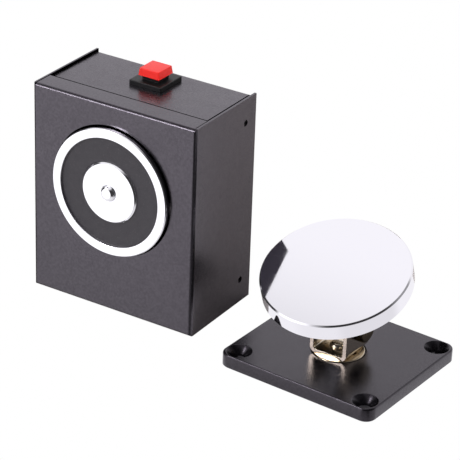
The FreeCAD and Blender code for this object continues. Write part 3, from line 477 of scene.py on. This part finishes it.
pole_plating = plated("pole_plating", PLATING, POLE_ROUGHNESS, POLE_RING_PITCH, POLE_RING_DEPTH)
pot_low, pot_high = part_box("magnet_pot")
pot_middle = (pot_low + pot_high) / 2
pot_radius, pot_depth = radius_and_length("magnet_pot")
pot_floor = pot_high.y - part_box("magnet_core")[1].y - pot_depth
pot_bore, resin_depth = radius_and_length("potting_ring")
core_radius, core_depth = radius_and_length("magnet_core")
bush_radius, bush_length = radius_and_length("pin_bush")
turned("pot_cup", [
    (BOLT_HOLE, -pot_depth), (pot_radius, -pot_depth), (pot_radius, -POT_EDGE),
    (pot_radius - POT_EDGE, 0), (pot_bore + POT_BORE_EDGE, 0), (pot_bore, -POT_BORE_EDGE),
    (pot_bore, pot_floor), (BOLT_HOLE, pot_floor)],
    pole_plating, POT_ROUNDING, "magnet_pot", on_magnet_axis(pot_low.y))
turned("core_slug", [
    (BOLT_HOLE, -core_depth), (core_radius, -core_depth), (core_radius, -CORE_EDGE),
    (core_radius - CORE_EDGE, 0), (bush_radius, 0), (bush_radius, -bush_length), (BOLT_HOLE, -bush_length)],
    pole_plating, CORE_ROUNDING, "magnet_core", on_magnet_axis(pot_low.y))

# Potting. Black resin poured over the coil and left to cure a little below the pole faces;
# it creeps up both walls in a thin meniscus and its filler shows as fine pale specks.
RESIN = (0.030, 0.027, 0.033, 1)
RESIN_SPECK = (0.16, 0.16, 0.17, 1)
RESIN_SPECK_SIZE = 0.45 * mm
RESIN_SPECK_DEPTH = 0.03 * mm
RESIN_CLOUD = 3 * mm
RESIN_ROUGHNESS = (0.38, 0.55)
MENISCUS_HEIGHT = 0.5 * mm
MENISCUS_WIDTH = 1.32 * mm
MENISCUS_STEPS = 6
MENISCUS_FALL = 4.5


def resin_outline():
    """Half section of the ring of resin, whose top rises in a thin curve at either wall."""
    rise = []
    for step in range(MENISCUS_STEPS):
        share = step / MENISCUS_STEPS
        rise.append((MENISCUS_WIDTH * share, MENISCUS_HEIGHT * math.exp(-MENISCUS_FALL * share)))
    rise.append((MENISCUS_WIDTH, 0))
    outer = [(pot_bore - away, height) for away, height in rise]
    inner = [(core_radius + away, height) for away, height in reversed(rise)]
    return [(core_radius, -resin_depth), (pot_bore, -resin_depth)] + outer + inner


def cast_resin():
    """Dull black resin in which the pale filler shows only at the noise's highest values."""
    look, graph, shader = new_look("cast_resin")
    speck = grain(graph, RESIN_SPECK_SIZE, 2.0)
    blend_colour(graph, speck, RESIN, RESIN_SPECK, shader.inputs["Base Color"], 0.66, 0.74)
    link(graph, spread(graph, grain(graph, RESIN_CLOUD), *RESIN_ROUGHNESS), shader.inputs["Roughness"])
    emboss(graph, speck, RESIN_SPECK_DEPTH, shader)
    return look


resin_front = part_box("potting_ring")[0].y
turned("resin_fill", resin_outline(), cast_resin(), 0, "potting_ring", on_magnet_axis(resin_front))

# Release pin and bush. A plated brass bush is pressed flush into the core; through it stands the
# sprung steel pin, whose domed, polished tip pushes the armature away when the current is cut.
PIN_ROUGHNESS = (0.07, 0.12)
PIN_RADIUS = 3.9 * mm
PIN_DOME = 1.7 * mm
PIN_FIT = 0.08 * mm
DOME_STEPS = 8
BUSH_ROUGHNESS = (0.14, 0.20)
BUSH_RING_PITCH = 0.3 * mm
BUSH_RING_DEPTH = 0.0008 * mm
BUSH_EDGE = 0.35 * mm
BUSH_ROUNDING = 0.05 * mm

pin_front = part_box("release_pin")[0].y
bush_front, bush_back = (corner.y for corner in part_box("pin_bush"))
shoulder, pin_length = radius_and_length("release_pin")
shoulder_top = bush_back - pin_front + PIN_FIT
pin_outline = [(0, -pin_length), (shoulder, -pin_length), (shoulder, -shoulder_top),
               (PIN_RADIUS, -shoulder_top)]
for step in range(DOME_STEPS + 1):
    turn = math.radians(90 * step / DOME_STEPS)
    pin_outline.append((PIN_RADIUS - PIN_DOME * (1 - math.cos(turn)), -PIN_DOME * (1 - math.sin(turn))))
pin_outline.append((0, 0))
turned("pin_turned", pin_outline, plated("pin_polish", PLATING, PIN_ROUGHNESS), 0, "release_pin",
       on_magnet_axis(pin_front), closed=False)
bush_plating = plated("bush_plating", PLATING, BUSH_ROUGHNESS, BUSH_RING_PITCH, BUSH_RING_DEPTH)
bush_bore = PIN_RADIUS + PIN_FIT
turned("bush_turned", [
    (bush_bore, -bush_length), (bush_radius, -bush_length), (bush_radius, 0), (bush_bore + BUSH_EDGE, 0),
    (bush_bore, -BUSH_EDGE)], bush_plating, BUSH_ROUNDING, "pin_bush", on_magnet_axis(bush_front))

# Coil, standoff and bolt. The copper coil on its moulded spool fills the pot; a turned standoff,
# pressed into the back plate, carries the pot, and a countersunk bolt from behind draws it home.
NYLON = (0.72, 0.70, 0.62, 1)
NYLON_LIGHT = (0.78, 0.76, 0.69, 1)
NYLON_ROUGHNESS = 0.5
MOULD_GRAIN = 0.35 * mm
MOULD_GRAIN_DEPTH = 0.008 * mm
MOULD_ROUGHNESS_SPREAD = 0.04
COPPER = (0.62, 0.27, 0.10, 1)
COPPER_LIGHT = (0.75, 0.36, 0.15, 1)
WIRE_LAY = 0.6 * mm
WIRE_LAY_DEPTH = 0.05 * mm
ENAMEL_METAL = 0.9
ENAMEL_ROUGHNESS = 0.3
ZINC = (0.62, 0.62, 0.63, 1)
ZINC_ROUGHNESS = (0.22, 0.32)


def dress(node, look):
    """Give a carried-over node a finish of its own."""
    mesh = frame["nodes"][node].data
    mesh.materials.clear()
    mesh.materials.append(look)


def moulded(name, colour, tone, roughness, depth=MOULD_GRAIN_DEPTH, gloss=0.5):
    """Moulded plastic with a faint spark-eroded grain."""
    look, graph, shader = new_look(name)
    shader.inputs["Specular IOR Level"].default_value = gloss
    fine = grain(graph, MOULD_GRAIN)
    blend_colour(graph, fine, colour, tone, shader.inputs["Base Color"])
    rough = spread(graph, fine, roughness - MOULD_ROUGHNESS_SPREAD, roughness + MOULD_ROUGHNESS_SPREAD)
    link(graph, rough, shader.inputs["Roughness"])
    emboss(graph, fine, depth, shader)
    return look


def wound_wire():
    """Enamelled copper wire, whose turns lie in fine uneven ridges."""
    look, graph, shader = new_look("enamelled_wire")
    shader.inputs["Metallic"].default_value = ENAMEL_METAL
    shader.inputs["Roughness"].default_value = ENAMEL_ROUGHNESS
    lay = grain(graph, WIRE_LAY, 1.0)
    blend_colour(graph, lay, COPPER, COPPER_LIGHT, shader.inputs["Base Color"], 0.4, 0.6)
    emboss(graph, lay, WIRE_LAY_DEPTH, shader)
    return look


zinc = plated("bright_zinc", ZINC, ZINC_ROUGHNESS)
natural_nylon = moulded("natural_nylon", NYLON, NYLON_LIGHT, NYLON_ROUGHNESS)
dress("coil_bobbin", natural_nylon)
dress("coil_winding", wound_wire())
dress("magnet_standoff", zinc)
dress("magnet_bolt", zinc)

# Pin spring. Bare spring steel wire, coiled behind the pin's shoulder in the bore of the magnet's
# core. It bears on the floor of that bore and shortens as the pin is pressed.
STEEL_WIRE = (0.45, 0.45, 0.46, 1)
STEEL_WIRE_ROUGHNESS = (0.25, 0.35)


def coil_spring(node, name):
    """A copy of the node's wire spring, in spring steel."""
    mesh = frame["nodes"][node].data.copy()
    mesh.materials.clear()
    mesh.materials.append(spring_wire)
    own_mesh(finish_piece(mesh, name, 0, node))


spring_wire = plated("spring_wire", STEEL_WIRE, STEEL_WIRE_ROUGHNESS)
coil_spring("pin_spring", "pin_spring_wire")

# Terminal block. A moulded block of four clamps stands on the bottom shelf by the cable entry,
# with a slotted brass screw down each well.
BRASS = (0.80, 0.68, 0.42, 1)
BRASS_ROUGHNESS = (0.2, 0.3)
dress("terminal_block", natural_nylon)
screw_brass = plated("screw_brass", BRASS, BRASS_ROUGHNESS)
for clamp in range(1, 5):
    dress("terminal_screw_%d" % clamp, screw_brass)

# Push button. A black moulded bezel sits on the top shelf and a plastic nut holds it from below;
# a square red cap, slightly drafted, stands over the bezel's collar on a spring.
BLACK_PLASTIC = (0.004, 0.004, 0.004, 1)
BLACK_PLASTIC_LIGHT = (0.007, 0.007, 0.007, 1)
BLACK_PLASTIC_ROUGHNESS = 0.42
BEZEL_GLOSS = 0.3
BEZEL_EDGE = 0.12 * mm
RED = (0.97, 0.012, 0.006, 1)
RED_LIGHT = (1.0, 0.016, 0.008, 1)
RED_ROUGHNESS = 0.34
RED_GRAIN_DEPTH = 0.004 * mm
RED_GLOSS = 0.42
CAP_EDGE = 0.1 * mm
TIN = (0.72, 0.70, 0.64, 1)
TIN_ROUGHNESS = (0.25, 0.35)
black_moulding = moulded("black_moulding", BLACK_PLASTIC, BLACK_PLASTIC_LIGHT, BLACK_PLASTIC_ROUGHNESS)
bezel_moulding = moulded("bezel_moulding", BLACK_PLASTIC, BLACK_PLASTIC_LIGHT, BLACK_PLASTIC_ROUGHNESS,
                         gloss=BEZEL_GLOSS)
red_moulding = moulded("red_moulding", RED, RED_LIGHT, RED_ROUGHNESS, RED_GRAIN_DEPTH, RED_GLOSS)
edged_copy("button_housing", "button_bezel", BEZEL_EDGE, bezel_moulding)
edged_copy("button_cap", "button_red_cap", CAP_EDGE, red_moulding)
dress("button_nut", black_moulding)
coil_spring("button_spring", "button_spring_wire")
tinned = plated("tinned_brass", TIN, TIN_ROUGHNESS)
for blade in (1, 2):
    dress("button_blade_%d" % blade, tinned)

# Cover screws. Socket grub screws of hardened steel with a black oxide finish, driven in a little
# below the sides of the cover.
BLACK_OXIDE = (0.06, 0.055, 0.055, 1)
OXIDE_ROUGHNESS = (0.3, 0.4)
oxide = plated("black_oxide", BLACK_OXIDE, OXIDE_ROUGHNESS)
for screw in range(1, 5):
    dress("cover_screw_%d" % screw, oxide)

# Keeper plate. Thick steel plate in the same satin black, with rounded corners, broken edges,
# four countersunk holes and a shallow round recess in which the swivel turns.
KEEPER_ROUGHNESS = (0.20, 0.27)
KEEPER_GLOSS = 0.72
# Lower sheen for the screw holes' cones and bores, as painted shade inside them.
SINK_SHADE_GLOSS = 0.34
PLATE_WIDTH = 85.2 * mm
PLATE_DEPTH = 76.5 * mm
PLATE_THICK = 7.0 * mm
PLATE_CORNER = 5.5 * mm
PLATE_EDGE = 0.6 * mm
PLATE_EDGE_DROP = 1.0 * mm
PLATE_TURN = math.radians(-3.8)
SCREW_SPREAD = (35.5 * mm, 31.2 * mm)
SCREW_HOLE = 3.1 * mm
SCREW_SINK = 6.25 * mm
RIM = 0.15 * mm
RIM_DROP = 0.045 * mm
RECESS_RADIUS = 13.3 * mm
RECESS_DEPTH = 2.4 * mm
RIVET_HOLE = 3.0 * mm
RIVET_SEAT = 6.3 * mm
RIVET_SEAT_DEPTH = 1.9 * mm
CORNER_STEPS = 16
EDGE_STEPS = 4
HOLE_STEPS = 64


def plate_loop(shape, inset, height):
    """A ring of points round the plate's outline, drawn in from its widest by the inset."""
    points = []
    across = PLATE_WIDTH / 2 - PLATE_CORNER
    along = PLATE_DEPTH / 2 - PLATE_CORNER
    for quarter, (side, front) in enumerate(((1, 1), (-1, 1), (-1, -1), (1, -1))):
        middle = Vector((side * across, front * along, height))
        for step in range(CORNER_STEPS + 1):
            turn = math.radians(90 * (quarter + step / CORNER_STEPS))
            reach = PLATE_CORNER - inset
            points.append(shape.verts.new(middle + Vector((math.cos(turn), math.sin(turn), 0)) * reach))
    return points


def hole_loops(shape, middle, profile):
    """Rings of points down a round hole, one for each (radius, height) of its profile."""
    loops = []
    for radius, height in profile:
        points = []
        for step in range(HOLE_STEPS):
            turn = math.tau * step / HOLE_STEPS
            place = (middle[0] + radius * math.cos(turn), middle[1] + radius * math.sin(turn), height)
            points.append(shape.verts.new(place))
        loops.append(points)
    return loops


def join_loops(shape, loops):
    """Walls between each ring of points and the next."""
    walls = []
    for low, high in zip(loops, loops[1:]):
        for place in range(len(low)):
            following = (place + 1) % len(low)
            walls.append(shape.faces.new((low[place], low[following], high[following], high[place])))
    return walls


def fill_between(shape, loops, facing):
    """A flat face between an outline and the holes in it."""
    edges = []
    for loop in loops:
        edges += [shape.edges.get((loop[place - 1], loop[place])) for place in range(len(loop))]
    bmesh.ops.triangle_fill(shape, edges=edges, use_beauty=True, normal=facing)


shape = bmesh.new()
outline = [plate_loop(shape, PLATE_EDGE, 0), plate_loop(shape, 0, PLATE_EDGE)]
for step in range(EDGE_STEPS + 1):
    turn = math.radians(90 * step / EDGE_STEPS)
    outline.append(plate_loop(shape, PLATE_EDGE * (1 - math.cos(turn)),
                              PLATE_THICK - PLATE_EDGE_DROP * (1 - math.sin(turn))))
join_loops(shape, outline)
top_loops = [outline[-1]]
under_loops = [outline[0]]
sink_foot = PLATE_THICK - (SCREW_SINK - SCREW_HOLE)
for side in (-1, 1):
    for front in (-1, 1):
        hole = hole_loops(shape, (side * SCREW_SPREAD[0], front * SCREW_SPREAD[1]), [
            (SCREW_SINK + RIM, PLATE_THICK), (SCREW_SINK, PLATE_THICK - RIM_DROP),
            (SCREW_SINK - RIM, PLATE_THICK - RIM), (SCREW_HOLE, sink_foot), (SCREW_HOLE, 0)])
        join_loops(shape, hole[:3])
        for wall in join_loops(shape, hole[2:]):
            wall.material_index = 1
        top_loops.append(hole[0])
        under_loops.append(hole[-1])
recess_floor = PLATE_THICK - RECESS_DEPTH
recess = hole_loops(shape, (0, 0), [
    (RECESS_RADIUS + RIM, PLATE_THICK), (RECESS_RADIUS, PLATE_THICK - RIM),
    (RECESS_RADIUS, recess_floor), (RIVET_HOLE, recess_floor),
    (RIVET_HOLE, RIVET_SEAT_DEPTH), (RIVET_SEAT, RIVET_SEAT_DEPTH), (RIVET_SEAT, 0)])
join_loops(shape, recess)
top_loops.append(recess[0])
under_loops.append(recess[-1])
fill_between(shape, top_loops, (0, 0, 1))
fill_between(shape, under_loops, (0, 0, -1))
bmesh.ops.recalc_face_normals(shape, faces=shape.faces)
keeper_paint = satin_paint("keeper_paint", KEEPER_ROUGHNESS, KEEPER_GLOSS)
# The duller paint for the holes' cones and bores is painted shade.
shaded_sink_paint = satin_paint("shaded_sink_paint", KEEPER_ROUGHNESS, SINK_SHADE_GLOSS)
plate_low, plate_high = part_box("base_plate")
plate_middle = (plate_low + plate_high) / 2
plate_place = Matrix.Translation((plate_middle.x, plate_middle.y, 0)) @ Matrix.Rotation(PLATE_TURN, 4, "Z")
keeper_plate = finish_piece(made_mesh(shape, "keeper_plate", keeper_paint, shaded_sink_paint), "keeper_plate", 0,
                            "base_plate", plate_place)
flat_faces = keeper_plate.modifiers.new("flat_faces", "WEIGHTED_NORMAL")
flat_faces.keep_sharp = True

# Swivel. A nickel plated bearing disc turns in the plate's recess under the yoke, and its nickel
# is darkened there as painted shade; a nickel plated rivet with a domed head holds both down.
NICKEL = (0.70, 0.62, 0.50, 1)
# A darker copy of the nickel, as painted shade on the bearing under the yoke.
SHADED_NICKEL = (0.48, 0.41, 0.31, 1)
NICKEL_ROUGHNESS = (0.12, 0.20)
RIVET_EDGE = 0.1 * mm
nickel = plated("warm_nickel", NICKEL, NICKEL_ROUGHNESS)
shaded_nickel = plated("shaded_nickel", SHADED_NICKEL, NICKEL_ROUGHNESS)
edged_copy("swivel_disc", "swivel_bearing", 0, shaded_nickel)
edged_copy("swivel_rivet", "swivel_rivet_head", RIVET_EDGE, nickel)

# Yoke. Thick steel strip folded into a U and nickel plated. It stands on the bearing disc, and its
# two round-cornered ears carry the hinge bolt.
YOKE_EDGE = 0.25 * mm
edged_copy("swivel_yoke", "yoke_fold", YOKE_EDGE, nickel)

# Hinge bolt, nut and washers. A round-headed bolt in dull olive zinc crosses both ears; a nickel
# plated nut holds it, and a washer lies on each side of the stem's eye.
OLIVE_ZINC = (0.24, 0.20, 0.13, 1)
OLIVE_ROUGHNESS = (0.28, 0.40)
BOLT_EDGE = 0.1 * mm
NUT_EDGE = 0.25 * mm
WASHER_EDGE = 0.1 * mm
olive_zinc = plated("olive_zinc", OLIVE_ZINC, OLIVE_ROUGHNESS)
edged_copy("hinge_bolt", "hinge_bolt_round", BOLT_EDGE, olive_zinc)
edged_copy("hinge_nut", "hinge_nut_hex", NUT_EDGE, nickel)
for washer in (1, 2):
    edged_copy("hinge_washer_%d" % washer, "hinge_washer_%d_flat" % washer, WASHER_EDGE, nickel)

# Stem. Turned from steel bar and zinc plated, with a cross-bored eye at its foot for the hinge bolt
# and a flange under the disc.
STEM_EDGE = 0.15 * mm
edged_copy("armature_stem", "stem_turned", STEM_EDGE, zinc)

# Armature disc. A thick steel disc, ground flat, polished and chromed until it mirrors the room;
# a polished bevel runs round its front edge, and the stem's stud is screwed into its back.
CHROME = (0.95, 0.945, 0.98, 1)
CHROME_ROUGHNESS = (0.015, 0.03)
# The back is turned, with lathe rings; its dark colour is painted shade under the disc, which the keeper plate
# mirrors.
SHADED_TURNED_BACK = (0.20, 0.19, 0.20, 1)
BACK_ROUGHNESS = (0.25, 0.35)
BACK_RING_PITCH = 0.5 * mm
BACK_RING_DEPTH = 0.002 * mm
ARMATURE_RADIUS = 35.9 * mm
ARMATURE_THICK = 8.9 * mm
ARMATURE_REACH = 24.9 * mm
ARMATURE_LEAN = math.radians(18.9)
FACE_BEVEL = 0.7 * mm
BACK_BEVEL = 0.5 * mm
STUD_RADIUS = 4.0 * mm
STUD_LENGTH = 5.0 * mm
BACK_WITHIN = 0.01 * mm
DISC_SHARP_OVER = math.radians(30)

hinge = next(joint for joint in frame["joints"] if joint["name"] == "armature_tilt")
hinge_axis = Vector(hinge["axis"]).normalized()
yoke_turn = Matrix.Rotation(math.atan2(hinge_axis.y, hinge_axis.x), 4, "Z")
disc_place = Matrix.Translation(Vector(hinge["pos_m"])) @ yoke_turn @ Matrix.Rotation(ARMATURE_LEAN, 4, "X")
disc_place = disc_place @ Matrix.Translation((0, 0, ARMATURE_REACH))
disc_polished = turned("disc_polished", [
    (STUD_RADIUS, 0), (ARMATURE_RADIUS - BACK_BEVEL, 0), (ARMATURE_RADIUS, BACK_BEVEL),
    (ARMATURE_RADIUS, ARMATURE_THICK - FACE_BEVEL), (ARMATURE_RADIUS - FACE_BEVEL, ARMATURE_THICK),
    (0, ARMATURE_THICK), (0, STUD_LENGTH), (STUD_RADIUS, STUD_LENGTH)],
    plated("mirror_chrome", CHROME, CHROME_ROUGHNESS), 0, "armature_disc", disc_place)
disc_mesh = disc_polished.data
disc_mesh.set_sharp_from_angle(angle=DISC_SHARP_OVER)
# The back faces take the dark, painted shade finish.
shaded_turned_back = plated("shaded_turned_back", SHADED_TURNED_BACK, BACK_ROUGHNESS, BACK_RING_PITCH, BACK_RING_DEPTH)
disc_mesh.materials.append(shaded_turned_back)
for face in disc_mesh.polygons:
    if face.center.z < BACK_WITHIN:
        face.material_index = 1
